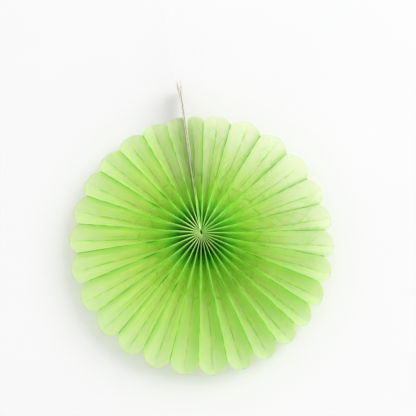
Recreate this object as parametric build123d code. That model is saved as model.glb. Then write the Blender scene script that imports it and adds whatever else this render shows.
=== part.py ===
from build123d import *
import math
import os

# A paper fan rosette: one pleated sheet of tissue paper opened to a full circle, whose two ends are
# glued to two card strips that stand face to face at the top. The pleats are glued together round
# the eye of the hub, and a thread loop through the tops of the cards hangs the fan on a hook.
# Millimetres. +Z is up, and the fan faces -Y. The origin is the top of the hanging loop.

# The opened fan
tip_radius = 150.0
notch_radius = 135.5
pleat_count = 28
tip_set_back = 14.5
crease_ring_radius = 70.0
crease_ring_set_back = 7.8
flattest_pleat_angle = 77.0
paper_thickness = 0.08
fold_width = 0.12

# How the pleats spread round the circle: share of the way round, and width against an even pleat
spread_knots = [
    (0.018, 0.73), (0.054, 1.00), (0.09, 1.22), (0.16, 1.22), (0.20, 1.03), (0.30, 0.93), (0.39, 0.82),
    (0.52, 0.98), (0.62, 1.00), (0.69, 1.11), (0.75, 1.09), (0.94, 1.04), (0.982, 0.67),
]

# The oval eye in the middle of the hub, before the cards widen it at its top
eye_half_width = 1.4
eye_half_height = 2.6

# The two card strips
card_thickness = 1.2
card_length = 194.0
card_corner_radius = 3.0
card_foot_height = 2.2
flexed_length = 24.0
flexed_gap = 3.3
hanging_hole_diameter = 4.0
hanging_hole_inset = 6.0

# The hanging thread
hanging_thread_diameter = 0.4
hanging_thread_clearance = 0.35
thread_sides = 8
knot_length = 1.4
knot_diameter = 1.5
knot_bevel = 0.4

# The right strand of the hanging thread: distance from the middle, and height above the card holes
strand_route = [
    (0.7, 0.0), (3.4, 0.0), (3.55, 4.5), (3.72, 13.0), (3.85, 30.0), (3.8, 62.0), (3.5, 94.0),
    (3.2, 112.0), (2.95, 122.0), (2.75, 128.0),
]

# Derived sizes
construction_radius = tip_radius + 3.0
inner_bands = 5
outer_bands = 4
seam_ridge_x = card_thickness + (paper_thickness + fold_width) / 2
card_lean = math.degrees(math.atan2(tip_set_back, tip_radius))


def between_knots(knots, place):
    """Straight-line value at place between the listed (place, value) knots, flat past both ends."""
    if place <= knots[0][0]:
        return knots[0][1]
    for (left, low), (right, high) in zip(knots, knots[1:]):
        if place <= right:
            return low + (high - low) * (place - left) / (right - left)
    return knots[-1][1]


def ridge_azimuths():
    """Angles of the front folds, in degrees clockwise from straight up, one seam face to the other."""
    widths = [between_knots(spread_knots, (lobe + 0.5) / pleat_count) for lobe in range(pleat_count)]
    seam_angle = math.degrees(math.asin(seam_ridge_x / construction_radius))
    scale = (360.0 - 2 * seam_angle) / sum(widths)
    angles = [seam_angle]
    for width in widths:
        angles.append(angles[-1] + width * scale)
    return angles


azimuths = ridge_azimuths()
widest_lobe = max(after - before for before, after in zip(azimuths, azimuths[1:]))
widest_half_gap = construction_radius * math.sin(math.radians(widest_lobe / 2))
panel_width = widest_half_gap / math.sin(math.radians(flattest_pleat_angle))


def set_back_on_card(height):
    """Depth of an end fold, which runs along a card's leaning front edge."""
    return height * tip_set_back / tip_radius


def ride_lower(radius):
    """How far the other front folds lie behind the end folds: most at the crease ring and at the tips."""
    ring_drop = crease_ring_set_back - set_back_on_card(crease_ring_radius)
    if radius < crease_ring_radius:
        drop = ring_drop * (radius / crease_ring_radius) ** 3
    else:
        drop = ring_drop * (tip_radius - radius) / (tip_radius - crease_ring_radius)
    mean_half_gap = math.pi * radius / pleat_count
    mean_depth = math.sqrt(panel_width**2 - mean_half_gap**2)
    return drop + (panel_width - mean_depth) / 2


def eye_point(ridge):
    """Where a front fold starts: spread evenly round the eye, which the cards widen at its top."""
    turn = 2 * math.pi * ridge / pleat_count
    across = eye_half_width * math.sin(turn) + seam_ridge_x * math.cos(turn / 2)
    return Vector(across, 0, eye_half_height * math.cos(turn))


def ridge_point(ridge, share):
    """A point on a front fold, share of the way from the eye to the construction circle."""
    turn = math.radians(azimuths[ridge])
    outer = Vector(math.sin(turn), 0, math.cos(turn)) * construction_radius
    set_back = set_back_on_card(eye_half_height * (1 - share) + construction_radius * share)
    if ridge not in (0, pleat_count):
        set_back += ride_lower(construction_radius * share)
    return eye_point(ridge) * (1 - share) + outer * share + Vector(0, set_back, 0)


def back_fold(left, right):
    """Both corners of the back fold between two front folds: both panels keep the full panel width."""
    across = right - left
    sideways = Vector(across.X, 0, across.Z)
    back = Vector(0, sideways.length, 0) - sideways.normalized() * across.Y
    half_gap = across.length / 2 - fold_width
    middle = (left + right) / 2 + back.normalized() * math.sqrt(panel_width**2 - half_gap**2)
    to_corner = across.normalized() * (fold_width / 2)
    return [middle - to_corner, middle + to_corner]


def fold_chain(share):
    """The folded section at one distance from the hub: glued end, both corners of each fold, glued end."""
    ridges = [ridge_point(ridge, share) for ridge in range(pleat_count + 1)]
    to_corner = Vector(fold_width / 2, 0, 0)
    to_back = Vector(0, panel_width, 0)
    chain = [ridges[0] - to_corner + to_back, ridges[0] - to_corner]
    for left, right in zip(ridges, ridges[1:]):
        step = (right - left).normalized() * (fold_width / 2)
        chain += [left + step, *back_fold(left, right), right - step]
    return chain + [ridges[-1] + to_corner, ridges[-1] + to_corner + to_back]


def faces_of_section(chain):
    """Front and back corner points of the paper, half its thickness to either side of its middle."""
    half = paper_thickness / 2
    normals = []
    for start, end in zip(chain, chain[1:]):
        radial = Vector((start + end).X, 0, (start + end).Z)
        normals.append((end - start).cross(radial).normalized())
    normals[0] = Vector(-1, 0, 0)
    normals[-1] = Vector(1, 0, 0)
    mitres = [normals[0] * half]
    for before, after in zip(normals, normals[1:]):
        mitres.append((before + after) * (half / (1 + before.dot(after))))
    mitres.append(normals[-1] * half)
    front = [point + mitre for point, mitre in zip(chain, mitres)]
    back = [point - mitre for point, mitre in zip(chain, mitres)]
    return front, back


def facet(*corners):
    return Face(Wire.make_polygon(corners, close=True))


def skin(near, far):
    """Flat facets between two neighbouring sections, each panel creased from its front fold's near end."""
    facets = []
    for place in range(len(near) - 1):
        a, b, c, d = near[place], near[place + 1], far[place + 1], far[place]
        if place % 4:
            facets += [facet(a, b, c), facet(a, c, d)]
        else:
            facets += [facet(a, b, d), facet(b, c, d)]
    return facets


def folded_sheet():
    """The sheet before its rim is cut, from the eye of the hub to the construction circle."""
    ring_share = crease_ring_radius / construction_radius
    shares = [ring_share * (band / inner_bands) ** 2 for band in range(inner_bands)]
    shares += [ring_share + (1 - ring_share) * band / outer_bands for band in range(outer_bands + 1)]
    sections = [faces_of_section(fold_chain(share)) for share in shares]
    facets = skin(*sections[0]) + skin(*sections[-1])
    for (front, back), (far_front, far_back) in zip(sections, sections[1:]):
        facets += skin(front, far_front) + skin(back, far_back)
        facets += skin([front[0], back[0]], [far_front[0], far_back[0]])
        facets += skin([front[-1], back[-1]], [far_front[-1], far_back[-1]])
    return Solid(Shell(facets))


def scallop_side(notch, tip):
    """The rounded end of one panel seen from the front: a parabola from its notch up to its tip."""
    outward = tip.normalized()
    step = notch - tip
    across = step - outward * step.dot(outward)
    return Bezier(notch, tip + across / 2, tip)


def rim_outline():
    """The scalloped outline that the folded sheet is trimmed to, seen from the front."""
    face_of_end = card_thickness + paper_thickness
    notches = []
    for azimuth in azimuths:
        turn = math.radians(azimuth)
        notches.append(Vector(math.sin(turn), 0, math.cos(turn)) * notch_radius)
    notches[0] = Vector(face_of_end, 0, notch_radius)
    notches[-1] = Vector(-face_of_end, 0, notch_radius)
    edges = []
    for lobe in range(pleat_count):
        corners = back_fold(ridge_point(lobe, 1), ridge_point(lobe + 1, 1))
        valley = (corners[0] + corners[1]) / 2
        tip = Vector(valley.X, 0, valley.Z).normalized() * tip_radius
        edges += [scallop_side(notches[lobe], tip), scallop_side(notches[lobe + 1], tip)]
    above = Vector(0, 0, tip_radius)
    edges += Polyline(notches[0], notches[0] + above, notches[-1] + above, notches[-1]).edges()
    return Face(Wire(edges))


def end_panel_waste():
    """What is trimmed off the two glued end panels: the same rounded end, cut in the cards' plane."""
    front_edge = Vector(0, set_back_on_card(notch_radius), notch_radius)
    back_edge = Vector(0, set_back_on_card(tip_radius) + panel_width, tip_radius)
    across = Vector(0, panel_width, 0)
    above = Vector(0, 0, tip_radius)
    rounded_end = Bezier(front_edge, back_edge - across / 2, back_edge)
    border = Polyline(
        back_edge, back_edge + across, back_edge + across + above, front_edge - across + above,
        front_edge - across, front_edge,
    )
    waste = Face(Wire([rounded_end, *border.edges()]))
    return extrude(waste, card_thickness + paper_thickness, dir=(1, 0, 0), both=True)


def pleated_paper():
    """The one folded sheet, trimmed to its scallops."""
    rim = extrude(rim_outline(), 2 * tip_radius, dir=(0, 1, 0), both=True)
    return (folded_sheet() & rim) - end_panel_waste()


def right_card():
    """The right card strip: straight beside its twin, then flexed away from it towards its top."""
    middle_x = card_thickness / 2
    middle_y = panel_width / 2
    bend_start = Vector(middle_x, middle_y, card_length - flexed_length)
    tip = Vector(middle_x + flexed_gap / 2, middle_y, card_length)
    foot = Vector(middle_x, middle_y, card_foot_height)
    path = Line(foot, bend_start) + TangentArc(bend_start, tip, tangent=(0, 0, 1))
    strip = sweep(Plane(foot, x_dir=(1, 0, 0), z_dir=(0, 0, 1)) * Rectangle(card_thickness, panel_width), path=path)
    side_view = Pos(middle_y, (card_length + card_foot_height) / 2) * RectangleRounded(
        panel_width, card_length - card_foot_height, card_corner_radius
    )
    side_view -= Pos(middle_y, card_length - hanging_hole_inset) * Circle(hanging_hole_diameter / 2)
    strip &= extrude(Plane.YZ * side_view, panel_width, both=True)
    return Rot(-card_lean, 0, 0) * strip


def hook_over_hub():
    """Where the top of the hanging loop is, measured from the front of the hub."""
    hole = (Rot(-card_lean, 0, 0) * Pos(0, panel_width / 2, card_length - hanging_hole_inset)).position
    seat = (hanging_hole_diameter - hanging_thread_diameter) / 2 - hanging_thread_clearance
    return hole + Vector(0, 0, seat + strand_route[-1][1])


def hanging_thread():
    """The loop of thread: out of one card's hole, over the hook and back in at the other card's hole."""
    top = strand_route[-1][1]
    route = [Vector(-out, 0, height - top) for out, height in strand_route]
    route += [Vector(out, 0, height - top) for out, height in reversed(strand_route)]
    radii = []
    for before, corner, after in zip(route, route[1:], route[2:]):
        arriving, leaving = corner - before, after - corner
        half_turn = math.radians(arriving.get_angle(leaving)) / 2
        radii.append(0.45 * min(arriving.length, leaving.length) / math.tan(half_turn))
    path = FilletPolyline(*route, radius=radii)
    section = RegularPolygon(hanging_thread_diameter / 2, thread_sides)
    thread = sweep(Plane(route[0], z_dir=route[1] - route[0]) * section, path=path)
    print("thread length", round(path.length, 2), "radii", [round(radius, 2) for radius in radii])
    print("thread volume over section times length", round(thread.volume / (section.area * path.length), 4))
    return thread


def thread_knot():
    """The small knot that joins the two ends of the thread between the cards."""
    knot = Rot(0, 90, 0) * Cylinder(knot_diameter / 2, knot_length)
    knot = chamfer(knot.edges().filter_by(GeomType.CIRCLE), knot_bevel)
    return Pos(0, 0, -strand_route[-1][1]) * knot


hub = Pos(-hook_over_hub())
right = right_card()
pieces = {
    "pleated_paper": hub * pleated_paper(),
    "right_card": hub * right,
    "left_card": hub * mirror(right, about=Plane.YZ),
    "hanging_thread": hanging_thread(),
    "thread_knot": thread_knot(),
}
os.makedirs("parts", exist_ok=True)
for name, piece in pieces.items():
    export_step(piece, f"parts/{name}.step")
    print(name, "solids", len(piece.solids()), "volume", round(piece.volume, 2), "valid", piece.is_valid)
print("panel width", round(panel_width, 3), "hub at", hub.position)
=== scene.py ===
# %% [markdown]
# A paper fan rosette hangs on a white wall. The imported model gives every piece its size and its
# place, and this script adds what the eye expects: tissue that is pleated, creased and lets light
# through, grey board, and a fine thread. The imported model is loaded first.

# %% Load the imported model
import math

import bpy
import numpy as np
from mathutils import Matrix, Vector


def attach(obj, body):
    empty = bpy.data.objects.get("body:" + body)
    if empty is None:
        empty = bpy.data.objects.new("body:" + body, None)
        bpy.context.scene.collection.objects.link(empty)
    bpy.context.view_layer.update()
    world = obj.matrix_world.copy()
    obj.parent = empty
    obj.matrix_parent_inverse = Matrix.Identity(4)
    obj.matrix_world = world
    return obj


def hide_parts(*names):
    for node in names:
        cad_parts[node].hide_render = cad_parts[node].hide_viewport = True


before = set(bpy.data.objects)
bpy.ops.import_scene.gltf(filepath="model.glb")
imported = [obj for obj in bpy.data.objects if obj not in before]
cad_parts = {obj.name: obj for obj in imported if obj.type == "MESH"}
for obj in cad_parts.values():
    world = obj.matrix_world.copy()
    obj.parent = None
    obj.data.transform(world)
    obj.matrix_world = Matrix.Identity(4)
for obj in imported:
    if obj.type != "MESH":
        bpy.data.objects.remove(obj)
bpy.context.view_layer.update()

# %% [markdown]
# The fan is seen from a little below, so the camera stands low and looks up. It is also rolled,
# which makes the seam with its two cards lean to the left in the frame. A camera could be aimed at
# the fan with a constraint, but then its roll would be hidden in that. Here a place, two angles
# and a roll say it all, and the lens follows from the share of the frame that the fan fills.

# %% Camera
CAMERA_PLACE = Vector((-0.0112, -0.5852, -0.4435))
CAMERA_TURN = math.radians(2.29)
CAMERA_TILT = math.radians(15.33)
CAMERA_ROLL = math.radians(8.61)
SENSOR_WIDTH = 36
FOCAL_SHARE = 1.281  # focal length against the frame's width
CLIP_START = 0.01

forward = Vector((
    math.sin(CAMERA_TURN) * math.cos(CAMERA_TILT),
    math.cos(CAMERA_TURN) * math.cos(CAMERA_TILT),
    math.sin(CAMERA_TILT),
))
level_right = forward.cross(Vector((0, 0, 1))).normalized()
level_up = level_right.cross(forward)
up = level_up * math.cos(CAMERA_ROLL) + level_right * math.sin(CAMERA_ROLL)
right = forward.cross(up)
camera_data = bpy.data.cameras.new("camera")
camera_data.sensor_width = SENSOR_WIDTH
camera_data.lens = SENSOR_WIDTH * FOCAL_SHARE
camera_data.clip_start = CLIP_START
camera = bpy.data.objects.new("camera", camera_data)
camera_axes = Matrix((right, up, -forward)).transposed().to_4x4()
camera.matrix_world = Matrix.Translation(CAMERA_PLACE) @ camera_axes
bpy.context.scene.collection.objects.link(camera)
bpy.context.scene.camera = camera
bpy.context.scene.view_settings.view_transform = "Standard"
print("camera looks along", [round(value, 3) for value in forward])

# %% [markdown]
# Two kinds of light are enough. A world of even white light fills the shadows, as the walls of a
# bright room do, and one large lamp on the right, a little above the hub, gives the pleats a light
# side and a shaded side. A small lamp would draw hard shadows, which tissue never has.

# %% World and lamp
WORLD_STRENGTH = 1.03
LAMP_POWER = 160.0
LAMP_SIZE = 4.4
LAMP_PLACE = Vector((4.30, -3.90, 1.40))
LAMP_AIM = Vector((0.0, 0.0, -0.30))

world = bpy.data.worlds.new("studio")
world.use_nodes = True
world.node_tree.nodes["Background"].inputs["Color"].default_value = (1, 1, 1, 1)
world.node_tree.nodes["Background"].inputs["Strength"].default_value = WORLD_STRENGTH
bpy.context.scene.world = world

lamp_data = bpy.data.lights.new("window", "AREA")
lamp_data.energy = LAMP_POWER
lamp_data.size = LAMP_SIZE
lamp = bpy.data.objects.new("window", lamp_data)
lamp.location = LAMP_PLACE
lamp.rotation_euler = (LAMP_AIM - LAMP_PLACE).to_track_quat("-Z", "Y").to_euler()
bpy.context.scene.collection.objects.link(lamp)
print("lamp stands", round((LAMP_PLACE - LAMP_AIM).length, 2), "m from the fan")

# %% [markdown]
# A material is a small tree of nodes, and building one by hand repeats the same few moves: add a
# node, give it numbers, link it to the next. These helpers do that, so that each finish below
# reads as the sum it works out: a fade between two distances, a product of masks, a colour that
# passes through some stops.

# %% Helpers for shader nodes
def new_material(name):
    """An empty node material, its tree and its output node."""
    material = bpy.data.materials.new(name)
    material.use_nodes = True
    material.node_tree.nodes.clear()
    output = material.node_tree.nodes.new("ShaderNodeOutputMaterial")
    return material, material.node_tree, output


def feed(tree, value, socket):
    """Give a socket its value: a link from another node's output, or a plain number or colour."""
    if isinstance(value, bpy.types.NodeSocket):
        tree.links.new(value, socket)
    else:
        socket.default_value = value


def add_node(tree, kind, settings=(), **inputs):
    """A node of that kind with its settings made and its named input sockets fed."""
    node = tree.nodes.new(kind)
    for name, value in dict(settings).items():
        setattr(node, name, value)
    for name, value in inputs.items():
        feed(tree, value, node.inputs[name.replace("_", " ")])
    return node


def work_out(tree, operation, *values):
    """The output of a Math node over numbers and other nodes' outputs."""
    node = add_node(tree, "ShaderNodeMath", {"operation": operation})
    for value, socket in zip(values, node.inputs):
        feed(tree, value, socket)
    return node.outputs[0]


def apart(tree, first, second):
    """How far apart two numbers are, whichever is the larger."""
    return work_out(tree, "ABSOLUTE", work_out(tree, "SUBTRACT", first, second))


def times(tree, *values):
    """The product of masks and numbers."""
    product = values[0]
    for value in values[1:]:
        product = work_out(tree, "MULTIPLY", product, value)
    return product


def strongest(tree, *masks):
    """The largest of some masks, each of them times its own strength."""
    result = 0.0
    for mask, strength in masks:
        result = work_out(tree, "MAXIMUM", result, work_out(tree, "MULTIPLY", mask, strength))
    return result


def fade(tree, value, full, gone):
    """A mask that is 1 where value is at full or beyond it, and falls smoothly to 0 at gone."""
    node = add_node(
        tree, "ShaderNodeMapRange", {"interpolation_type": "SMOOTHSTEP"},
        Value=value, From_Min=full, From_Max=gone, To_Min=1, To_Max=0,
    )
    return node.outputs["Result"]


def ramp(tree, value, stops):
    """A colour that passes through the listed (place, colour) stops as value goes from 0 to 1."""
    node = add_node(tree, "ShaderNodeValToRGB", Fac=value)
    while len(node.color_ramp.elements) < len(stops):
        node.color_ramp.elements.new(1)
    for element, (place, colour) in zip(node.color_ramp.elements, stops):
        element.position = place
        element.color = (*colour, 1)
    return node.outputs["Color"]


def tint(tree, mask, before, after):
    """A colour mix: before where the mask is 0, and after where it is 1."""
    node = add_node(tree, "ShaderNodeMix", {"data_type": "RGBA", "clamp_factor": True}, Factor=mask)
    first_colour, second_colour, mixed_colour = node.inputs[6], node.inputs[7], node.outputs[2]
    feed(tree, before, first_colour)
    feed(tree, after, second_colour)
    return mixed_colour


print("shader helpers are ready")

# %% [markdown]
# The wall behind the fan is one white square that takes the fan's soft shadow. Paint is a plain
# diffuse shader with a faint unevenness. The far side of the square is see-through, so the fan can
# be looked at from behind, and the square lets light for shadows pass, so that the world also
# lights the tissue from the back, as a bright wall some way behind it would.

# %% Wall
WALL_Y = 0.018
WALL_HALF = 3.0
WALL_WHITE = (0.76, 0.76, 0.76, 1)
WALL_SHADE = (0.74, 0.74, 0.745, 1)

wall_mesh = bpy.data.meshes.new("wall")
corner_signs = ((-1, -1), (1, -1), (1, 1), (-1, 1))
wall_corners = [(x * WALL_HALF, WALL_Y, z * WALL_HALF) for x, z in corner_signs]
wall_mesh.from_pydata(wall_corners, [], [(0, 1, 2, 3)])
wall = bpy.data.objects.new("wall", wall_mesh)
bpy.context.scene.collection.objects.link(wall)
wall_material, tree, output = new_material("white_wall")
place = add_node(tree, "ShaderNodeTexCoord").outputs["Object"]
uneven = add_node(tree, "ShaderNodeTexNoise", Vector=place, Scale=6.0).outputs["Fac"]
paint = add_node(tree, "ShaderNodeBsdfDiffuse", Color=tint(tree, uneven, WALL_WHITE, WALL_SHADE))
clear = add_node(tree, "ShaderNodeBsdfTransparent")
from_behind = add_node(tree, "ShaderNodeNewGeometry").outputs["Backfacing"]
for_shadow = add_node(tree, "ShaderNodeLightPath").outputs["Is Shadow Ray"]
see_through = work_out(tree, "MAXIMUM", from_behind, for_shadow)
choice = add_node(tree, "ShaderNodeMixShader", Fac=see_through)
tree.links.new(paint.outputs[0], choice.inputs[1])
tree.links.new(clear.outputs[0], choice.inputs[2])
tree.links.new(choice.outputs[0], output.inputs["Surface"])
wall_mesh.materials.append(wall_material)

# %% [markdown]
# The sheet is one long strip of tissue, pleated and opened to a full circle. Each panel between
# two folds keeps its width, so where the circle pulls the front folds apart the pleat gets
# shallower: at the hub the panels stand on edge, and at the rim they lie half flat. A sheet like
# that could be sculpted or simulated, but a fold pattern is pure geometry, so here every fold is a
# line worked out from the fan's sizes, and each panel is a grid stretched between two of them.
# First come the sizes, and the angle of each front fold: the pleats aren't spread quite evenly,
# and the one beside the right card is pushed together a little more.

# %% Sizes of the opened fan, in metres
TIP_RADIUS = 0.150
NOTCH_RADIUS = 0.1355
OUTER_RADIUS = TIP_RADIUS + 0.003  # fold lines end a little past the tips
PLEATS = 28
TIP_SET_BACK = 0.0145
CREASE_RADIUS = 0.070
CREASE_SET_BACK = 0.0078
FLATTEST_PLEAT = math.radians(77)
CARD_THICKNESS = 0.0012
CARD_LENGTH = 0.194
HOLE_INSET = 0.006
HOLE_RADIUS = 0.002
THREAD_DIAMETER = 0.0004
THREAD_CLEARANCE = 0.00035
LOOP_HEIGHT = 0.128
GLUE_THICKNESS = 0.00008
SEAM_X = CARD_THICKNESS + GLUE_THICKNESS
FIRST_PLEAT_CLOSED = 0.014  # radians by which the pleat beside the right card is pushed together
SPREAD_PLACE = [0.018, 0.054, 0.09, 0.16, 0.20, 0.30, 0.39, 0.52, 0.62, 0.69, 0.75, 0.94, 0.982]
SPREAD_WIDTH = [0.73, 1.00, 1.22, 1.22, 1.03, 0.93, 0.82, 0.98, 1.00, 1.11, 1.09, 1.04, 0.67]


def ridge_turns():
    """Angle of each front fold from straight up: pleats as wide as the spread at their place."""
    middle = (np.arange(PLEATS) + 0.5) / PLEATS
    widths = np.interp(middle, SPREAD_PLACE, SPREAD_WIDTH)
    seam = math.asin(SEAM_X / OUTER_RADIUS)
    free_turn = 2 * math.pi - 2 * seam
    return seam + np.concatenate([[0], np.cumsum(widths)]) * free_turn / widths.sum()


turns = ridge_turns()
widest_half_gap = OUTER_RADIUS * math.sin(np.diff(turns).max() / 2)
PANEL_WIDTH = widest_half_gap / math.sin(FLATTEST_PLEAT)
turns[1] -= FIRST_PLEAT_CLOSED
card_lean = math.atan2(TIP_SET_BACK, TIP_RADIUS)
hole_along, hole_across = CARD_LENGTH - HOLE_INSET, PANEL_WIDTH / 2
hole_up = hole_along * math.cos(card_lean) - hole_across * math.sin(card_lean)
hole_back = hole_along * math.sin(card_lean) + hole_across * math.cos(card_lean)
seat = HOLE_RADIUS - THREAD_DIAMETER / 2 - THREAD_CLEARANCE
HUB = np.array([0, -hole_back, -(hole_up + seat + LOOP_HEIGHT)])
print("panel width", round(1000 * PANEL_WIDTH, 2), "mm, hub at", np.round(1000 * HUB, 2))

# %% [markdown]
# A front fold runs straight from the eye of the hub to its notch in the rim, and the whole fan is
# a very shallow cone, a little steeper inside the ring where the stack was once creased. A back
# fold lies where two panels of full width meet behind two front folds: the tip of a triangle with
# two equal sides. The last front fold follows the front edge of the left card. The first one does
# so on the right card only near the rim: closer to the hub that pleat has been pushed over the
# cards' edges and hides them, which a straight line with a soft step at WRAP_END can say.

# %% Front and back folds
EYE_HALF_WIDTH = 0.0010
EYE_HALF_HEIGHT = 0.0034
EYE_START = math.radians(50)
EYE_SWEEP = math.radians(260)
WRAP_END = 0.100
WRAP_FADE = 0.062
WRAP_REACH = 1.8  # how far past the seam's middle the pleat is pushed, against SEAM_X
WRAP_RISE = 0.0006


def ridge_points(ridge, share):
    """Points on a front fold: a straight line from the eye outwards, set back as the cone asks."""
    eye_turn = EYE_START + EYE_SWEEP * ridge / PLEATS
    start_x = EYE_HALF_WIDTH * math.sin(eye_turn)
    start_z = EYE_HALF_HEIGHT * math.cos(eye_turn)
    x = start_x + (OUTER_RADIUS * math.sin(turns[ridge]) - start_x) * share
    z = start_z + (OUTER_RADIUS * math.cos(turns[ridge]) - start_z) * share
    radius = np.hypot(x, z)
    along_card = radius * TIP_SET_BACK / TIP_RADIUS
    if ridge == PLEATS:
        return np.stack([x * 0 - SEAM_X, along_card, z], -1)
    if ridge == 0:
        wraps = np.clip((WRAP_END - radius) / WRAP_FADE, 0, 1)
        wrapped_x = SEAM_X * (1 - WRAP_REACH * wraps)
        return np.stack([wrapped_x, along_card - WRAP_RISE * wraps, z], -1)
    cone = np.interp(radius, [0, CREASE_RADIUS, TIP_RADIUS], [0, CREASE_SET_BACK, TIP_SET_BACK])
    depth = np.sqrt(PANEL_WIDTH**2 - (math.pi * radius / PLEATS) ** 2)
    return np.stack([x, cone + (PANEL_WIDTH - depth) / 2, z], -1)


def valley_points(lobe, share):
    """Points on a back fold: behind the middle of two front folds, a panel's width from both."""
    left, right = ridge_points(lobe, share), ridge_points(lobe + 1, share)
    across = right - left
    sideways = across * [1, 0, 1]
    gap = np.linalg.norm(sideways, axis=-1, keepdims=True)
    back = np.concatenate([gap * 0, gap, gap * 0], -1) - sideways / gap * across[..., 1:2]
    back /= np.linalg.norm(back, axis=-1, keepdims=True)
    half_across = np.linalg.norm(across, axis=-1, keepdims=True) / 2
    return (left + right) / 2 + back * np.sqrt(PANEL_WIDTH**2 - half_across**2)


def fold_points(fold, share):
    """Fold number fold of the chain: glued edge, front fold, back fold and so on to glued edge."""
    if fold in (0, 2 * PLEATS + 2):
        ridge, seam_x = (0, SEAM_X) if fold == 0 else (PLEATS, -SEAM_X)
        return ridge_points(ridge, share) * [0, 1, 1] + [seam_x, PANEL_WIDTH, 0]
    if fold % 2:
        return ridge_points((fold - 1) // 2, share)
    return valley_points(fold // 2 - 1, share)


print("folds", 2 * PLEATS + 3, "with both glued edges")

# %% [markdown]
# Tissue is never quite flat. Between two front folds it hangs back in a soft belly, steep beside
# the front folds and flatter in the middle, and that is what gives each pleat its gradient of
# shade. A dent crosses it at the ring where the folded stack was bent, and loose creases and a
# ripple cover the rest. All of them are heights over the panel, so they are added up first and
# then push the grid's points along the panel's own direction. The random numbers start from a
# fixed seed, which keeps every run the same.

# %% Belly, dent and creases of one panel
BELLY = 0.0022
BELLY_RANGE = (0.7, 1.3)
BELLY_POWER = 1.2
RING_DENT = 0.0011
RING_HALF_WIDTH = 0.009
RING_SHIFT = 0.003
RING_SLANT = (0.25, 0.55)
RING_TURNS = [0, 60, 120, 200, 270, 330, 360]
RING_RADII = [0.070, 0.070, 0.067, 0.066, 0.056, 0.058, 0.066]
LOOSE_CREASES = 9
CREASE_ACROSS = (0.1, 0.9)  # share of the panel's width
CREASE_OUTWARD = (0.3, 1.0)  # share of the tips' radius
CREASE_LEAST_ANGLE = 0.2
CREASE_REACH = (0.004, 0.012)
CREASE_WIDTH = (0.0015, 0.004)
CREASE_HEIGHT = 0.0008
RIPPLE_HEIGHT = 0.00012
RIPPLE_WAVES = ((420, 190), (150, -300))  # radians per metre outward and across
RIPPLE_PHASES = (0, 6.28)
random = np.random.RandomState(7)


def crease_height(across, radius, middle_across, middle_radius, angle, reach, width):
    """A soft crease: a ridge of triangular section along a line, fading out towards its ends."""
    from_middle, outward = across - middle_across, radius - middle_radius
    side = np.abs(from_middle * math.sin(angle) - outward * math.cos(angle))
    along = from_middle * math.cos(angle) + outward * math.sin(angle)
    return np.clip(1 - side / width, 0, None) * np.exp(-((along / reach) ** 2))


def panel_height(panel, across, radius):
    """Height over one panel: its belly, the dent at the crease ring, loose creases and a ripple."""
    turn = math.degrees(turns[min(max(panel - 1, 0) // 2, PLEATS)])
    outward = np.clip(radius / TIP_RADIUS, 0, 1)
    inside = np.sin(math.pi * across / PANEL_WIDTH)
    ring = np.interp(turn, RING_TURNS, RING_RADII) + random.uniform(-RING_SHIFT, RING_SHIFT)
    slant = random.uniform(*RING_SLANT) * (-1 if panel % 2 else 1)
    from_ring = radius - ring - slant * (across - PANEL_WIDTH / 2)
    height = -RING_DENT * np.clip(1 - np.abs(from_ring) / RING_HALF_WIDTH, 0, None)
    height -= BELLY * random.uniform(*BELLY_RANGE) * outward**BELLY_POWER
    for _ in range(LOOSE_CREASES):
        middle_across = random.uniform(*CREASE_ACROSS) * PANEL_WIDTH
        middle_radius = random.uniform(*CREASE_OUTWARD) * TIP_RADIUS
        angle = random.uniform(CREASE_LEAST_ANGLE, math.pi - CREASE_LEAST_ANGLE)
        size = random.uniform(*CREASE_REACH), random.uniform(*CREASE_WIDTH)
        rise = random.uniform(-CREASE_HEIGHT, CREASE_HEIGHT)
        height += rise * crease_height(across, radius, middle_across, middle_radius, angle, *size)
    ripple = RIPPLE_HEIGHT
    phases = random.uniform(*RIPPLE_PHASES, len(RIPPLE_WAVES))
    for (outward_waves, across_waves), phase in zip(RIPPLE_WAVES, phases):
        ripple = ripple * np.sin(radius * outward_waves + across * across_waves + phase)
    return (height + ripple) * inside


print("belly", 1000 * BELLY, "mm at the tips")

# %% [markdown]
# One panel is a grid: across it from fold to fold, and along it from the eye to the rim. The rim
# of a panel is half of a parabola, short at the front fold and long at the back fold, and two of
# them make one scallop. The lines across the panel are bunched near the front fold, where the
# scallop falls away fastest. Neighbouring panels share the points of their common fold, and the
# notch beside the cards is deeper than the others. Close to the hub glue and fingers have crushed
# the front folds flat, so there the line beside a fold is drawn level with it: the narrow flat
# faces that this makes catch the light as pale rays. Each point also gets its place on a chart of
# the sheet, for the material. Where the first pleat covers the cards' edges, that place follows
# from its true width.

# %% Grid of the whole sheet
ACROSS = 9
ALONG = 88
SEAM_NOTCH_RADIUS = 0.108
CRUSHED_HALF_WIDTH = 0.00032
CRUSHED_SHARE = 0.70
CRUSHED_LESS_RIGHT = 0.20
CRUSHED_MORE_TOP = 0.15
CRUSHED_MOST = 0.45  # of half the gap between two front folds
CRUSHED_FULL = 0.016
CRUSHED_GONE = 0.040


def rim_radius(from_ridge, notch):
    """Where the paper ends: a parabola from the notch (from_ridge 0) to the tip (from_ridge 1)."""
    return notch + (TIP_RADIUS - notch) * (1 - (1 - from_ridge) ** 2)


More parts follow.
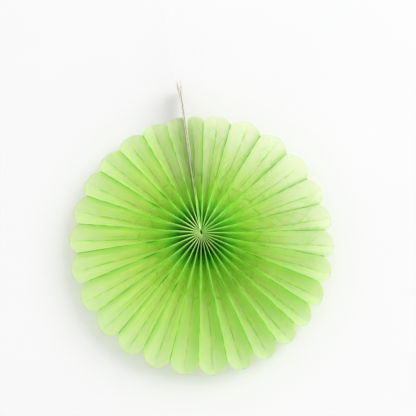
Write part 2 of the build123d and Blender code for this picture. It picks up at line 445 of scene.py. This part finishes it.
def crush_fold(beside, ridge, valley, radius):
    """Points of the line beside a front fold, moved level with it, least at the lower right."""
    sideways = (valley - ridge) * [1, 0, 1]
    half_gap = np.linalg.norm(sideways, axis=-1, keepdims=True)
    to_right, _, to_top = ridge[-1] / np.linalg.norm(ridge[-1] * [1, 0, 1])
    share = CRUSHED_SHARE - CRUSHED_LESS_RIGHT * to_right + CRUSHED_MORE_TOP * to_top
    half_width = np.minimum(CRUSHED_HALF_WIDTH * share, CRUSHED_MOST * half_gap)
    level = ridge + sideways / half_gap * half_width
    crushed = np.clip((CRUSHED_GONE - radius) / (CRUSHED_GONE - CRUSHED_FULL), 0, 1)[:, None]
    return beside + crushed * (level - beside)


def panel_grid(panel):
    """Points and map coordinates of one panel, one row of points for each line across it."""
    steps = np.linspace(0, math.pi / 2, ACROSS + 1)
    starts_at_ridge = panel % 2 == 1
    place = 1 - np.cos(steps) if starts_at_ridge else np.sin(steps)
    from_ridge = place if starts_at_ridge else 1 - place
    notch = SEAM_NOTCH_RADIUS if panel < 2 else NOTCH_RADIUS
    share = rim_radius(from_ridge, notch)[:, None] / OUTER_RADIUS * np.linspace(0, 1, ALONG + 1)
    start, end = fold_points(panel, share), fold_points(panel + 1, share)
    points = start * (1 - place[:, None, None]) + end * place[:, None, None]
    if panel == 0:
        points[:-1, :, 0] = SEAM_X
    radius = np.linalg.norm(points * [1, 0, 1], axis=-1)
    normal = np.cross(end - start, np.gradient(points, axis=1))
    normal /= np.linalg.norm(normal, axis=-1, keepdims=True)
    place_across = np.broadcast_to(place[:, None], radius.shape)
    chart = np.stack([(panel - 1 + place_across) / 2, radius], -1)
    if 0 < panel < 2 * PLEATS + 1:
        height = panel_height(panel, place_across * PANEL_WIDTH, radius)
        points = points + normal * height[..., None]
        ridge, valley = (start, end) if starts_at_ridge else (end, start)
        beside = 1 if starts_at_ridge else -2
        points[beside] = crush_fold(points[beside], ridge[beside], valley[beside], radius[beside])
    if panel == 0:
        strip_width = np.linalg.norm(points[-1] - points[-2], axis=-1)
        chart[:-1, :, 0] -= (strip_width / PANEL_WIDTH - (1 - place[-2])) / 2
    return points, chart


grids = [panel_grid(panel) for panel in range(2 * PLEATS + 2)]
points = np.concatenate([grid[0][:-1] for grid in grids] + [grids[-1][0][-1:]])
chart = np.concatenate([grid[1][:-1] for grid in grids] + [grids[-1][1][-1:]])
columns, rows = points.shape[:2]
print("sheet grid", columns, "by", rows)

# %% [markdown]
# The points become one mesh in a single step: each face joins four neighbours of the grid. The
# chart goes with it as a map: its first number counts pleats, whole at the front folds and half at
# the back folds, and its second is the distance from the hub in metres. Folds stay sharp and the
# rest is smooth. A Solidify modifier then makes the sheet a closed shell.

# %% Mesh of the sheet
SHEET_THICKNESS = 0.0001
FOLD_ANGLE = math.radians(32)


def grid_object(name, points, chart):
    """A mesh of four-cornered faces over a grid of points, with the chart as its map."""
    columns, rows = points.shape[:2]
    number = np.arange(columns * rows).reshape(columns, rows)
    corners = [number[:-1, :-1], number[:-1, 1:], number[1:, 1:], number[1:, :-1]]
    faces = np.stack(corners, -1).reshape(-1, 4)
    mesh = bpy.data.meshes.new(name)
    mesh.vertices.add(columns * rows)
    mesh.vertices.foreach_set("co", points.reshape(-1))
    mesh.loops.add(faces.size)
    mesh.loops.foreach_set("vertex_index", faces.reshape(-1))
    mesh.polygons.add(len(faces))
    mesh.polygons.foreach_set("loop_start", np.arange(0, faces.size, 4))
    mesh.update(calc_edges=True)
    layer = mesh.uv_layers.new(name="sheet")
    layer.data.foreach_set("uv", chart.reshape(-1, 2)[faces.reshape(-1)].reshape(-1))
    mesh.polygons.foreach_set("use_smooth", np.ones(len(faces), dtype=bool))
    mesh.validate()
    piece = bpy.data.objects.new(name, mesh)
    bpy.context.scene.collection.objects.link(piece)
    return piece


tissue_sheet = grid_object("tissue_sheet", points + HUB, chart)
tissue_sheet.data.set_sharp_from_angle(angle=FOLD_ANGLE)
thickness = tissue_sheet.modifiers.new("thickness", "SOLIDIFY")
thickness.thickness = SHEET_THICKNESS
thickness.offset = 0
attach(tissue_sheet, "root")
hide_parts("pleated_paper")
print("sheet faces before thickness", len(tissue_sheet.data.polygons))

# %% [markdown]
# Paper of every kind is a mat of fibres, so the tissue and the cards share one effect: fine long
# fibres laid along one direction, and a cloudy thickness that shows where the pulp was denser. It
# is built once as a group of nodes with named inputs and outputs, and each material places it with
# its own sizes. The group gives plain values only, and the materials decide what they tint.

# %% Paper grain, a shared group of nodes
FIBRE_STRETCH = 0.06

grain = bpy.data.node_groups.new("paper_grain", "ShaderNodeTree")
grain.interface.new_socket("Place", in_out="INPUT", socket_type="NodeSocketVector")
for name in ("Fibres per Metre", "Clouds per Metre"):
    grain.interface.new_socket(name, in_out="INPUT", socket_type="NodeSocketFloat")
for name in ("Fibres", "Clouds"):
    grain.interface.new_socket(name, in_out="OUTPUT", socket_type="NodeSocketFloat")
given = grain.nodes.new("NodeGroupInput").outputs
gives = grain.nodes.new("NodeGroupOutput").inputs
drawn_out = add_node(grain, "ShaderNodeMapping", Vector=given["Place"], Scale=(1, FIBRE_STRETCH, 1))
fibre_noise = add_node(
    grain, "ShaderNodeTexNoise", Vector=drawn_out.outputs["Vector"],
    Scale=given["Fibres per Metre"], Detail=3.0,
)
cloud_noise = add_node(
    grain, "ShaderNodeTexNoise", Vector=given["Place"],
    Scale=given["Clouds per Metre"], Detail=5.0, Roughness=0.6,
)
grain.links.new(fibre_noise.outputs["Fac"], gives["Fibres"])
grain.links.new(cloud_noise.outputs["Fac"], gives["Clouds"])
print("group", grain.name, "with", len(grain.nodes), "nodes")

# %% [markdown]
# The marks on the tissue follow the folds, so they are drawn on the sheet's map. From it come two
# distances in metres, to the nearest front fold and to the nearest back fold, and the distance
# from the hub. A little noise lets the drawn lines wander, as folds made by hand do. In this cell
# and the next ones a pair of numbers says where a mask is full and where it is gone, and a noise
# has its waves per metre and its detail.

# %% Where a point of the tissue lies
LINE_WANDER = 0.10
WANDER_NOISE = (28.0, 1.0)

tissue, tree, output = new_material("green_tissue")
sheet_map = add_node(tree, "ShaderNodeUVMap", {"uv_map": "sheet"}).outputs["UV"]
in_metres = (2 * PANEL_WIDTH, 1, 1)
flat = add_node(tree, "ShaderNodeMapping", Vector=sheet_map, Scale=in_metres).outputs["Vector"]
parts = add_node(tree, "ShaderNodeSeparateXYZ", Vector=sheet_map)
pleat_number, from_hub = parts.outputs["X"], parts.outputs["Y"]


def noise(scale, detail, place=flat):
    """Smooth noise over the flat sheet, with scale waves to a metre."""
    node = add_node(tree, "ShaderNodeTexNoise", Vector=place, Scale=scale, Detail=detail)
    return node.outputs["Fac"]


def from_back_fold(number):
    """Distance to the back fold in the middle of a pleat, from the pleat number's fraction."""
    off_middle = apart(tree, work_out(tree, "FRACT", number), 0.5)
    return work_out(tree, "MULTIPLY", off_middle, 2 * PANEL_WIDTH)


slow_noise = noise(*WANDER_NOISE)
to_back = from_back_fold(pleat_number)
to_front = work_out(tree, "SUBTRACT", PANEL_WIDTH, to_back)
even_number = work_out(tree, "SUBTRACT", pleat_number, LINE_WANDER / 2)
wandering = work_out(tree, "MULTIPLY_ADD", slow_noise, LINE_WANDER, even_number)
to_drawn_back = from_back_fold(wandering)
print("tissue material reads the map", "sheet")

# %% [markdown]
# Each back fold gets a thin line of painted shade, a fuller green that fades towards the rim.
# Beyond the hub a front fold gets a thin dark line of painted shadow, broken here and there, and
# every panel has a second, fainter line of painted crease shade beside its fold, where the stack
# was pressed again a little out of place.

# %% Fold lines
OUTSIDE_HUB = (0.050, 0.030)
INSIDE_RIM = (0.122, 0.150)
BREAK_NOISE = (85.0, 2.0)
LINE_BREAKS = (0.60, 0.30)
BACK_LINE = (0.0004, 0.0016)
FRONT_LINE = (0.0003, 0.0012)
SECOND_LINE = (0.0004, 0.0018)
SECOND_LINE_END = (0.095, 0.135)
SECOND_NEAREST = 0.25 * PANEL_WIDTH
SECOND_SPREAD = 0.6 * PANEL_WIDTH

outside_hub = fade(tree, from_hub, *OUTSIDE_HUB)
line_breaks = fade(tree, noise(*BREAK_NOISE), *LINE_BREAKS)
back_line = times(
    tree, fade(tree, to_drawn_back, *BACK_LINE), fade(tree, from_hub, *INSIDE_RIM), line_breaks
)
# Painted shadow along each front fold beyond the hub.
front_line = times(tree, fade(tree, to_front, *FRONT_LINE), outside_hub, line_breaks)
panel_number = work_out(tree, "FLOOR", work_out(tree, "MULTIPLY", pleat_number, 2))
dice = add_node(tree, "ShaderNodeTexWhiteNoise", {"noise_dimensions": "1D"}, W=panel_number)
chance = dice.outputs["Value"]
second_place = work_out(tree, "MULTIPLY_ADD", chance, SECOND_SPREAD, SECOND_NEAREST)
off_second = apart(tree, work_out(tree, "SUBTRACT", PANEL_WIDTH, to_drawn_back), second_place)
second_line = times(
    tree, fade(tree, off_second, *SECOND_LINE), outside_hub,
    fade(tree, from_hub, *SECOND_LINE_END), line_breaks,
)
print("back folds, front folds and second folds are drawn")

# %% [markdown]
# Not all pleats look the same. Those at the upper right face the window lamp and get painted light,
# on the lowest ones the painted shade lies on the other side of each front fold, and those beside
# the seam with the cards are closed more tightly. These masks pick them out by their number on the
# map, counted from the seam.

# %% Pleats that differ
WINDOW_PLEAT = 4.0
WINDOW_PLEATS = (2.5, 6.0)
LOWEST_PLEAT = 12.0
LOWER_PLEATS = (3.2, 4.4)
SEAM_PANEL = (0.30, 0.45)
SEAM_PLEATS = (PLEATS / 2 - 0.8, PLEATS / 2 - 2.4)

window_side = fade(tree, apart(tree, pleat_number, WINDOW_PLEAT), *WINDOW_PLEATS)
lower = fade(tree, apart(tree, pleat_number, LOWEST_PLEAT), *LOWER_PLEATS)
at_seam = fade(tree, work_out(tree, "ABSOLUTE", pleat_number), *SEAM_PANEL)
near_seam = fade(tree, apart(tree, pleat_number, PLEATS / 2), *SEAM_PLEATS)
print("window side, lower side and seam have their masks")

# %% [markdown]
# Near the hub a pale painted highlight lies on the front folds, least on the pleats by the window
# and the lowest ones, and one more pale line of painted highlight follows the edge of the cards
# under the first pleat. The valleys between them get deep green painted shade. By the window and
# beside the cards painted light makes the tissue nearly white. And on the side of each front fold
# away from the window a soft strip of deeper green painted shade follows it.

# %% Painted ridge highlights, painted valley shade, painted light and painted shade strips
RIDGE_WIDTH = (0.0005, 0.0016)
RIDGE_END = (0.022, 0.105)
SEAM_RIDGE_NARROWER = 3.0
EYE_REACH = (0.004, 0.016)
EYE_RIDGE_WIDER = 0.004
CARD_EDGE = 0.0013  # from the front fold
CARD_EDGE_WIDTH = (0.0001, 0.0004)
HIGHLIGHT_LESS_LOWER = 0.25
HIGHLIGHT_LESS_WINDOW = 0.45
VALLEY_WIDTH = (0.0080, 0.0015)
VALLEY_END = (0.014, 0.044)
SEAM_VALLEY_NEARER = 12.0
VALLEY_DEPTH = 0.85
VALLEY_LESS_WINDOW = 0.60
VALLEY_MORE_SEAM = 0.50
WINDOW_LIGHT_START = (0.125, 0.050)
WINDOW_LIGHT_SHARE = 0.75
SEAM_LIGHT_START = (0.085, 0.035)
SEAM_LIGHT_END = (0.080, 0.125)
SEAM_LIGHT_SHARE = (0.40, 0.30)  # near the hub on top of what is left at the rim
STRIP_WIDTH = 0.005
STRIP_WIDER_LOWER = 0.014
STRIP_WANDER = 0.014
STRIP_END = (0.100, 0.165)

seam_narrows = work_out(tree, "MULTIPLY_ADD", at_seam, SEAM_RIDGE_NARROWER, 1.0)
into_pleat = times(tree, to_front, seam_narrows)
at_eye = fade(tree, from_hub, *EYE_REACH)
from_ridge = work_out(tree, "MULTIPLY_ADD", at_eye, -EYE_RIDGE_WIDER, into_pleat)
over_card_edge = times(
    tree, fade(tree, apart(tree, to_front, CARD_EDGE), *CARD_EDGE_WIDTH),
    work_out(tree, "LESS_THAN", pleat_number, 0.0),
)
ridge_lines = work_out(tree, "MAXIMUM", fade(tree, from_ridge, *RIDGE_WIDTH), over_card_edge)
highlight_share = work_out(tree, "MULTIPLY_ADD", window_side, -HIGHLIGHT_LESS_WINDOW, 1.0)
highlight_share = work_out(tree, "MULTIPLY_ADD", lower, -HIGHLIGHT_LESS_LOWER, highlight_share)
# Painted highlight: pale front folds near the hub and a pale line along the cards' edge.
ridge_highlight = times(tree, ridge_lines, fade(tree, from_hub, *RIDGE_END), highlight_share)

# Painted shade in the valleys near the hub, weaker by the window and stronger at the seam.
seam_nearer = work_out(tree, "MULTIPLY_ADD", at_seam, SEAM_VALLEY_NEARER, 1.0)
valley_share = work_out(tree, "MULTIPLY_ADD", window_side, -VALLEY_LESS_WINDOW, VALLEY_DEPTH)
valley_share = work_out(tree, "MULTIPLY_ADD", at_seam, VALLEY_MORE_SEAM, valley_share)
valley_shade = times(
    tree, fade(tree, times(tree, to_front, seam_nearer), *VALLEY_WIDTH),
    fade(tree, from_hub, *VALLEY_END), valley_share,
)

# Painted light: nearly white tissue on the pleats facing the window, and beside the cards against
# their shadow.
window_light = times(tree, window_side, fade(tree, from_hub, *WINDOW_LIGHT_START), WINDOW_LIGHT_SHARE)
seam_light_share = fade(tree, from_hub, *SEAM_LIGHT_END)
seam_light_share = work_out(tree, "MULTIPLY_ADD", seam_light_share, *SEAM_LIGHT_SHARE)
seam_light = times(tree, near_seam, fade(tree, from_hub, *SEAM_LIGHT_START), seam_light_share)
painted_light = work_out(tree, "MAXIMUM", window_light, seam_light)

# Painted shade: a strip of deeper green beside each front fold, on its side away from the window,
# which is the other side on the lowest pleats.
before_fold = work_out(tree, "GREATER_THAN", work_out(tree, "FRACT", pleat_number), 0.5)
side_away_from_window = apart(tree, before_fold, lower)
strip_width = work_out(tree, "MULTIPLY_ADD", lower, STRIP_WIDER_LOWER, STRIP_WIDTH)
strip_width = work_out(tree, "MULTIPLY_ADD", slow_noise, STRIP_WANDER, strip_width)
into_strip = work_out(tree, "DIVIDE", to_front, strip_width)
shade_strip = times(
    tree, fade(tree, into_strip, 0.0, 1.0), side_away_from_window, outside_hub, fade(tree, from_hub, *STRIP_END)
)
print("rubbed, deep, faded and doubled paper have their masks")

# %% [markdown]
# The stack was bent once as well: a ring of slanting lines of painted crease shade crosses the
# pleats half-way out, with green spots of painted shade on the side of each fold away from the
# window. Short crumples of painted crease shade lie in patches, mostly on the pleats that face the
# window. Beside the thread a dark spot of painted shadow marks where the first pleat stands open.

# %% Crease ring, crumples and the painted shadow of the gap beside the thread
RING_NOISE = (11.0, 0.0)
RING_RADIUS = 0.047
RING_WANDER = 0.030
CHEVRON_SLANT = 0.45
CHEVRON_WIDTH = (0.0, 0.0022)
PATCH_NOISE = (46.0, 1.0)
CHEVRON_PATCHES = (0.60, 0.42)
SPOT_REACH = (0.003, 0.014)
SPOT_WIDTH = (0.0016, 0.0065)
SPOT_PATCHES = (0.52, 0.42)
GAP_RADIUS = 0.078
GAP_REACH = (0.004, 0.011)
GAP_PLEAT = 0.06
GAP_WIDTH = (0.04, 0.10)
STREAK_NOISE = (90.0, 1.0)
STREAK_STRETCH = 6.0
STREAK_ANGLES = (0.85, -0.65)
STREAK_LINE = (0.002, 0.030)
CRUMPLE_NOISE = (20.0, 2.0)
CRUMPLED_MORE_WINDOW = 0.22
CRUMPLED_PATCHES = (0.82, 0.66)
CRUMPLES_START = (0.050, 0.035)
CRUMPLES_END = (0.125, 0.145)

ring_radius = work_out(tree, "MULTIPLY_ADD", noise(*RING_NOISE), RING_WANDER, RING_RADIUS)
from_ring = work_out(tree, "SUBTRACT", from_hub, ring_radius)
slanting = work_out(tree, "MULTIPLY", to_front, CHEVRON_SLANT)
chevron_in = work_out(tree, "ABSOLUTE", work_out(tree, "ADD", from_ring, slanting))
chevrons = work_out(
    tree, "MAXIMUM", fade(tree, chevron_in, *CHEVRON_WIDTH),
    fade(tree, apart(tree, from_ring, slanting), *CHEVRON_WIDTH),
)
patches = noise(*PATCH_NOISE)
ring_lines = times(tree, chevrons, fade(tree, patches, *CHEVRON_PATCHES))
# Painted shade spots at the crease ring, on the side of each fold away from the window.
ring_spots = times(
    tree, fade(tree, work_out(tree, "ABSOLUTE", from_ring), *SPOT_REACH),
    fade(tree, to_front, *SPOT_WIDTH), fade(tree, patches, *SPOT_PATCHES), side_away_from_window,
)
# Painted shadow inside the open gap beside the thread.
gap_shadow = times(
    tree, fade(tree, apart(tree, from_hub, GAP_RADIUS), *GAP_REACH),
    fade(tree, apart(tree, pleat_number, GAP_PLEAT), *GAP_WIDTH),
)

streaks = 0.0
for angle in STREAK_ANGLES:
    turned = add_node(
        tree, "ShaderNodeMapping", {"vector_type": "TEXTURE"}, Vector=flat,
        Rotation=(0, 0, angle), Scale=(1, STREAK_STRETCH, 1),
    )
    off_line = apart(tree, noise(*STREAK_NOISE, turned.outputs["Vector"]), 0.5)
    streaks = work_out(tree, "MAXIMUM", streaks, fade(tree, off_line, *STREAK_LINE))
in_patches = noise(*CRUMPLE_NOISE)
in_patches = work_out(tree, "MULTIPLY_ADD", window_side, CRUMPLED_MORE_WINDOW, in_patches)
crumples = times(
    tree, streaks, fade(tree, in_patches, *CRUMPLED_PATCHES),
    fade(tree, from_hub, *CRUMPLES_START), fade(tree, from_hub, *CRUMPLES_END),
)
print("ring, gap and crumples have their masks")

# %% [markdown]
# The dye is one green, but light that reaches the eye from near the hub has passed several layers
# of pleat, so the sheet looks deep green there and grows paler with every centimetre. The colour
# therefore runs through stops along the distance from the hub, once for the light that the fibres
# send back and once for the light they let through. Clouds in the pulp and streaks from pressing
# shift it to and fro. Then every mask from above mixes in its own pair of colours, one after the
# other: the order matters only where marks cross.

# %% Tissue colours
SENT_BACK = [
    (0.00, (0.22, 0.90, 0.03)), (0.12, (0.42, 0.98, 0.08)), (0.28, (0.82, 1.00, 0.32)),
    (0.50, (0.93, 1.00, 0.57)), (0.75, (0.91, 0.99, 0.68)), (1.00, (0.90, 0.96, 0.79)),
]
LET_THROUGH = [
    (0.00, (0.30, 0.95, 0.04)), (0.12, (0.52, 1.00, 0.10)), (0.28, (0.84, 1.00, 0.34)),
    (0.50, (0.93, 1.00, 0.57)), (0.75, (0.90, 0.99, 0.65)), (1.00, (0.89, 0.96, 0.76)),
]
DENSE_PULP = (0.68, 0.98, 0.30, 1)
# painted light
PAINTED_LIGHT = (0.96, 0.97, 0.88, 1), (0.95, 0.97, 0.86, 1)
# painted shade in the valleys near the hub
VALLEY_SHADE_GREEN = (0.01, 0.48, 0.005, 1), (0.03, 0.85, 0.01, 1)
# painted shade beside the front folds, also the darker green of the first pleat
SHADE_STRIP_AND_FIRST_PLEAT = (0.42, 0.76, 0.13, 1), (0.48, 0.79, 0.13, 1)
# painted shade in folds and creases
CREASE_SHADE = (0.54, 0.93, 0.18, 1), (0.58, 0.93, 0.18, 1)
# painted shade of the front folds and ring spots
FOLD_AND_GAP_SHADE = (0.13, 0.48, 0.01, 1), (0.24, 0.66, 0.02, 1)
# painted highlight on the front folds
RIDGE_HIGHLIGHT = (0.66, 1.0, 0.28, 1), (0.66, 1.0, 0.28, 1)
# painted shadow of the open gap
GAP_SHADOW = (0.02, 0.20, 0.01, 1), (0.02, 0.20, 0.01, 1)
CLOUDS_SHIFT = 0.70
PRESSED_SHIFT = 0.56
PRESSED_NOISE = (240.0, 2.0)
PRESSED_STRETCH = 0.10
PRESSED_IN_PULP = 0.9
DENSE = (1.10, 0.90)
DENSE_SHARE = 0.55
SHADE_STRIP_SHARE = 0.60
SHADE_STRIP_MORE_LOWER = 0.05
FIRST_PLEAT = (0.96, 1.02)
FIRST_PLEAT_START = (0.135, 0.070)
FIRST_PLEAT_DEEPER = 0.12

paper = add_node(
    tree, "ShaderNodeGroup", {"node_tree": grain},
    Place=flat, Fibres_per_Metre=700.0, Clouds_per_Metre=90.0,
)
clouds, fibres = paper.outputs["Clouds"], paper.outputs["Fibres"]
pressed_place = add_node(tree, "ShaderNodeMapping", Vector=flat, Scale=(1, PRESSED_STRETCH, 1))
pressed = noise(*PRESSED_NOISE, pressed_place.outputs["Vector"])
outward = work_out(tree, "DIVIDE", from_hub, TIP_RADIUS)
shifted = work_out(tree, "ADD", outward, (CLOUDS_SHIFT - PRESSED_SHIFT) / 2)
shifted = work_out(tree, "MULTIPLY_ADD", clouds, -CLOUDS_SHIFT, shifted)
shifted = work_out(tree, "MULTIPLY_ADD", pressed, PRESSED_SHIFT, shifted)

in_pulp = work_out(tree, "MULTIPLY_ADD", pressed, PRESSED_IN_PULP, fibres)
dense = work_out(tree, "MULTIPLY", fade(tree, in_pulp, *DENSE), DENSE_SHARE)
# Painted shade in the folds and creases: back folds, second folds, the crease ring and crumples.
creases = strongest(
    tree, (back_line, 0.80), (second_line, 0.45), (ring_lines, 0.60), (crumples, 0.34)
)
# Painted shade and shadow: front-fold lines, ring spots and the gap.
marks = strongest(tree, (gap_shadow, 1.0), (front_line, 0.60), (ring_spots, 0.95))
# The first pleat beside the right card is a darker green from the tips inwards.
first_pleat = times(
    tree, fade(tree, pleat_number, *FIRST_PLEAT), fade(tree, from_hub, *FIRST_PLEAT_START)
)
shade_strip_share = work_out(tree, "MULTIPLY_ADD", lower, SHADE_STRIP_MORE_LOWER, SHADE_STRIP_SHARE)
shade_strip_and_first_pleat = strongest(tree, (shade_strip, shade_strip_share), (first_pleat, FIRST_PLEAT_DEEPER))

sent_back = tint(tree, dense, ramp(tree, shifted, SENT_BACK), DENSE_PULP)
let_through = ramp(tree, shifted, LET_THROUGH)
layers = (
    (painted_light, PAINTED_LIGHT), (valley_shade, VALLEY_SHADE_GREEN), (shade_strip_and_first_pleat, SHADE_STRIP_AND_FIRST_PLEAT), (creases, CREASE_SHADE),
    (marks, FOLD_AND_GAP_SHADE), (ridge_highlight, RIDGE_HIGHLIGHT), (gap_shadow, GAP_SHADOW),
)
for mask, (back_colour, through_colour) in layers:
    sent_back = tint(tree, mask, sent_back, back_colour)
    let_through = tint(tree, mask, let_through, through_colour)
print("colour stops", len(SENT_BACK), "and", len(LET_THROUGH), "with", len(layers), "layers")

# %% [markdown]
# Tissue scatters some light back and lets most of it through, so the surface is a mix of a matt
# shader and a translucent one. Less goes through near the hub, where the layers are glued
# together, and along the folds with the painted highlight. Glass-like transmission would keep the
# wall's edges sharp behind the paper, which tissue doesn't. A bump lifts the fibres and the finest
# creases, which are far too small for the mesh.

# %% Tissue surface
THICK_AT_HUB = (0.012, 0.052)
THROUGH_SHARE = 0.78
THROUGH_SHARE_AT_HUB = 0.40
HIGHLIGHT_THROUGH_LESS = 0.30
FIBRE_RELIEF = 0.5

relief = work_out(tree, "MULTIPLY_ADD", fibres, FIBRE_RELIEF, clouds)
relief = work_out(tree, "SUBTRACT", relief, work_out(tree, "MAXIMUM", ring_lines, crumples))
bump = add_node(tree, "ShaderNodeBump", Strength=0.55, Distance=0.0007, Height=relief)
bump = bump.outputs["Normal"]
surface = add_node(
    tree, "ShaderNodeBsdfPrincipled", Roughness=0.8, Specular_IOR_Level=0.2,
    Base_Color=sent_back, Normal=bump,
)
through = add_node(tree, "ShaderNodeBsdfTranslucent", Color=let_through, Normal=bump)
thick = fade(tree, from_hub, *THICK_AT_HUB)
share = work_out(tree, "MULTIPLY_ADD", thick, THROUGH_SHARE_AT_HUB - THROUGH_SHARE, THROUGH_SHARE)
share = work_out(tree, "MULTIPLY_ADD", ridge_highlight, -HIGHLIGHT_THROUGH_LESS, share)
mixed = add_node(tree, "ShaderNodeMixShader", Fac=share)
tree.links.new(surface.outputs[0], mixed.inputs[1])
tree.links.new(through.outputs[0], mixed.inputs[2])
tree.links.new(mixed.outputs[0], output.inputs["Surface"])
tissue_sheet.data.materials.append(tissue)
print("tissue material has", len(tree.nodes), "nodes")

# %% [markdown]
# The thread carries the whole fan. It leaves the knot between the cards through the left card's
# hole, runs up over the hook and comes down again into the right card's hole. A smooth curve
# through the same points as the model's, with a round section, is all it takes. The section's
# radius is one metre and each point's radius scales it down to the thread: the curve's box reaches
# out from its points by their radius, so with radii of 1 it would be metres wide.

# %% Hanging thread
STRAND_ROUTE = [
    (0.0007, 0.0), (0.0034, 0.0), (0.00355, 0.0045), (0.00372, 0.013), (0.00385, 0.030),
    (0.0038, 0.062), (0.0035, 0.094), (0.0032, 0.112), (0.00295, 0.122), (0.00275, 0.128),
]
SECTION_RADIUS = 1.0

route = [(-out, 0, height - LOOP_HEIGHT) for out, height in STRAND_ROUTE]
route += [(-x, y, z) for x, y, z in reversed(route)]
thread_curve = bpy.data.curves.new("hanging_line", "CURVE")
thread_curve.dimensions = "3D"
thread_curve.bevel_depth = SECTION_RADIUS
thread_curve.bevel_resolution = 3
thread_curve.use_fill_caps = True
spline = thread_curve.splines.new("NURBS")
spline.points.add(len(route) - 1)
for point, place in zip(spline.points, route):
    point.co = (*place, 1)
    point.radius = THREAD_DIAMETER / 2 / SECTION_RADIUS
spline.order_u = 3
spline.use_endpoint_u = True
spline.resolution_u = 8
hanging_line = bpy.data.objects.new("hanging_line", thread_curve)
bpy.context.scene.collection.objects.link(hanging_line)
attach(hanging_line, "root")
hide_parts("hanging_thread")
print("thread points", len(route))

# %% [markdown]
# Sewing thread is spun from white yarn. Its plies run round it at a slant, which a band pattern
# laid askew over the thread shows as fine bright and dark turns. The knot is made of the same
# thread, so it wears the same material.

# %% Thread material
YARN_WHITE = (0.90, 0.90, 0.88, 1)
YARN_SHADE = (0.70, 0.70, 0.67, 1)

thread_material, tree, output = new_material("white_thread")
place = add_node(tree, "ShaderNodeTexCoord").outputs["Object"]
plies = add_node(
    tree, "ShaderNodeTexWave", {"bands_direction": "DIAGONAL"}, Vector=place,
    Scale=260.0, Distortion=1.5, Detail=2.0,
).outputs["Fac"]
yarn_bump = add_node(tree, "ShaderNodeBump", Strength=0.4, Distance=0.0001, Height=plies)
yarn = add_node(
    tree, "ShaderNodeBsdfPrincipled", Roughness=0.75,
    Base_Color=tint(tree, plies, YARN_SHADE, YARN_WHITE), Normal=yarn_bump.outputs["Normal"],
)
tree.links.new(yarn.outputs[0], output.inputs["Surface"])
thread_curve.materials.append(thread_material)
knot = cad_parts["thread_knot"]
knot.data.materials.clear()
knot.data.materials.append(thread_material)
print("thread material is on", hanging_line.name, "and", knot.name)

# %% [markdown]
# The cards are cut from grey board, the kind made of waste paper: beige grey with darker specks
# and fibres along the strip. Its cut edges are all that shows from the front. They turn greener
# towards the hub, and a thin brown line of glue runs between the two cards.

# %% Card material
BOARD = (0.70, 0.67, 0.59, 1)
BOARD_SPECK = (0.48, 0.44, 0.36, 1)
BOARD_GREENER = (0.42, 0.50, 0.22, 1)
GLUE_BROWN = (0.16, 0.13, 0.09, 1)
SPECKS = (0.66, 0.50)
GLUE_LINE = (0.0001, 0.0006)
GREENER_RANGE = (HUB[2] + 0.060, HUB[2] + 0.135)
GREENER_LEAST = 0.3

card_material, tree, output = new_material("grey_card")
place = add_node(tree, "ShaderNodeTexCoord").outputs["Object"]
parts = add_node(tree, "ShaderNodeSeparateXYZ", Vector=place).outputs
along_strip = add_node(tree, "ShaderNodeCombineXYZ", X=parts["Y"], Y=parts["Z"], Z=parts["X"])
paper = add_node(
    tree, "ShaderNodeGroup", {"node_tree": grain},
    Place=along_strip.outputs["Vector"], Fibres_per_Metre=2600.0, Clouds_per_Metre=240.0,
)
greener_share = work_out(tree, "ADD", paper.outputs["Clouds"], GREENER_LEAST)
layers = (
    (fade(tree, paper.outputs["Fibres"], *SPECKS), BOARD_SPECK),
    (times(tree, fade(tree, parts["Z"], *GREENER_RANGE), greener_share), BOARD_GREENER),
    (fade(tree, work_out(tree, "ABSOLUTE", parts["X"]), *GLUE_LINE), GLUE_BROWN),
)
board_colour = BOARD
for mask, colour in layers:
    board_colour = tint(tree, mask, board_colour, colour)
board_bump = add_node(
    tree, "ShaderNodeBump", Strength=0.4, Distance=0.0002, Height=paper.outputs["Fibres"]
)
board = add_node(
    tree, "ShaderNodeBsdfPrincipled", Roughness=0.85, Base_Color=board_colour,
    Normal=board_bump.outputs["Normal"],
)
tree.links.new(board.outputs[0], output.inputs["Surface"])
for name in ("left_card", "right_card"):
    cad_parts[name].data.materials.clear()
    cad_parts[name].data.materials.append(card_material)
print("card material is on both cards")
